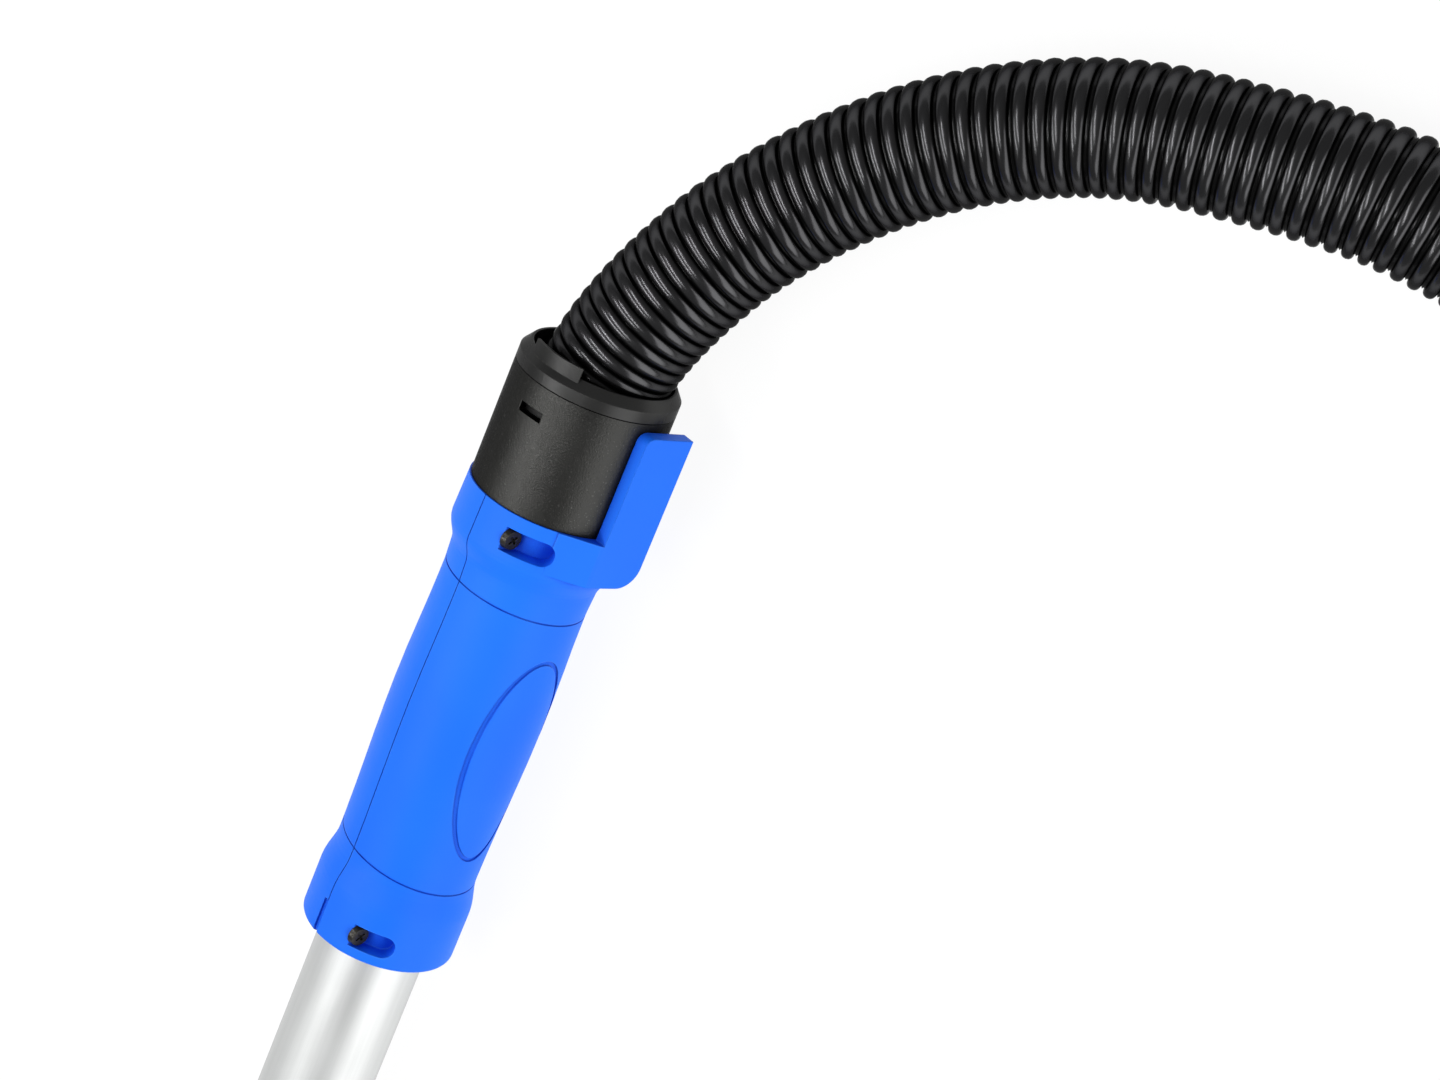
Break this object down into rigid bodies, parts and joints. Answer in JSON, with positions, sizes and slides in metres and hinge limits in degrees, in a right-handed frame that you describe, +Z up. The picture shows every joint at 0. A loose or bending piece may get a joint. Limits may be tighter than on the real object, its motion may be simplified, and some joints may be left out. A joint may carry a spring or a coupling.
{
  "type": "vacuum cleaner hose and wand",
  "caption": "Corrugated suction hose with a swivelling two-shell hand grip on a straight aluminium wand and a latching plug for a canister vacuum cleaner.",
  "frame": {"origin": "centre of the wand's open lower end, on the wand's axis", "axes": "+X along the wand and the grip towards the hose; +Z up as the assembly lies on the floor; the hose turns off to -Y"},
  "size_m": [0.8405, 0.7951, 0.0539],
  "materials": {
    "anodised_tube": "matt anodised",
    "blue_plastic": "satin moulded",
    "black_plastic": "fine spark-eroded texture",
    "cap_plastic": "satin moulded",
    "hose_plastic": "gloss, corrugated",
    "black_steel": "black oxide, slightly shiny",
    "steel": "bright drawn",
    "seal_rubber": "matt",
    "white_acetal": "smooth"
  },
  "bodies": {
    "hose_body": {"hose": "hose_plastic", "hose_sleeve": "cap_plastic", "connector_sleeve": "cap_plastic"},
    "handle": {"wand_tube": "anodised_tube", "wand_end_collar": "black_plastic", "wand_end_seal": "seal_rubber", "lock_rocker_pin": "steel", "lock_rocker_spring": "steel", "grip_shell_right": "blue_plastic", "grip_shell_left": "blue_plastic", "grip_screws": "black_steel", "tube_stop_ring": "steel", "tube_seal": "seal_rubber", "hose_cuff": "black_plastic", "cuff_cap": "cap_plastic", "cuff_lip_seal": "seal_rubber", "cuff_washer": "white_acetal"},
    "wand_lock": {"lock_rocker": "black_plastic"},
    "connector": {"connector_housing": "black_plastic", "connector_spigot": "black_plastic", "connector_cap": "cap_plastic", "connector_lip_seal": "seal_rubber", "connector_washer": "white_acetal", "spigot_seal": "seal_rubber", "latch_pin_left": "steel", "latch_pin_right": "steel", "latch_spring_left": "steel", "latch_spring_right": "steel"},
    "latch_left": {"latch_left": "black_plastic"},
    "latch_right": {"latch_right": "black_plastic"}
  },
  "joints": [
    {"name": "handle_swivel", "type": "hinge", "parent": "hose_body", "child": "handle", "pos_m": [0.65, 0, 0], "axis": [1, 0, 0], "continuous": true},
    {"name": "connector_swivel", "type": "hinge", "parent": "hose_body", "child": "connector", "pos_m": [0.693, -0.735, 0], "axis": [1, 0, 0], "continuous": true},
    {"name": "wand_lock_press", "type": "hinge", "parent": "handle", "child": "wand_lock", "pos_m": [0.054, 0, 0.0224], "axis": [0, 1, 0], "range_deg": [0, 5], "stiffness_Nm_per_rad": 0.4, "springref_deg": -5.73, "deforming": ["lock_rocker_spring"]},
    {"name": "latch_left_press", "type": "hinge", "parent": "connector", "child": "latch_left", "pos_m": [0.706, -0.706, 0], "axis": [0, 0, 1], "range_deg": [0, 7], "stiffness_Nm_per_rad": 0.4, "springref_deg": -5.73, "deforming": ["latch_spring_left"]},
    {"name": "latch_right_press", "type": "hinge", "parent": "connector", "child": "latch_right", "pos_m": [0.706, -0.764, 0], "axis": [0, 0, -1], "range_deg": [0, 7], "stiffness_Nm_per_rad": 0.4, "springref_deg": -5.73, "deforming": ["latch_spring_right"]}
  ]
}
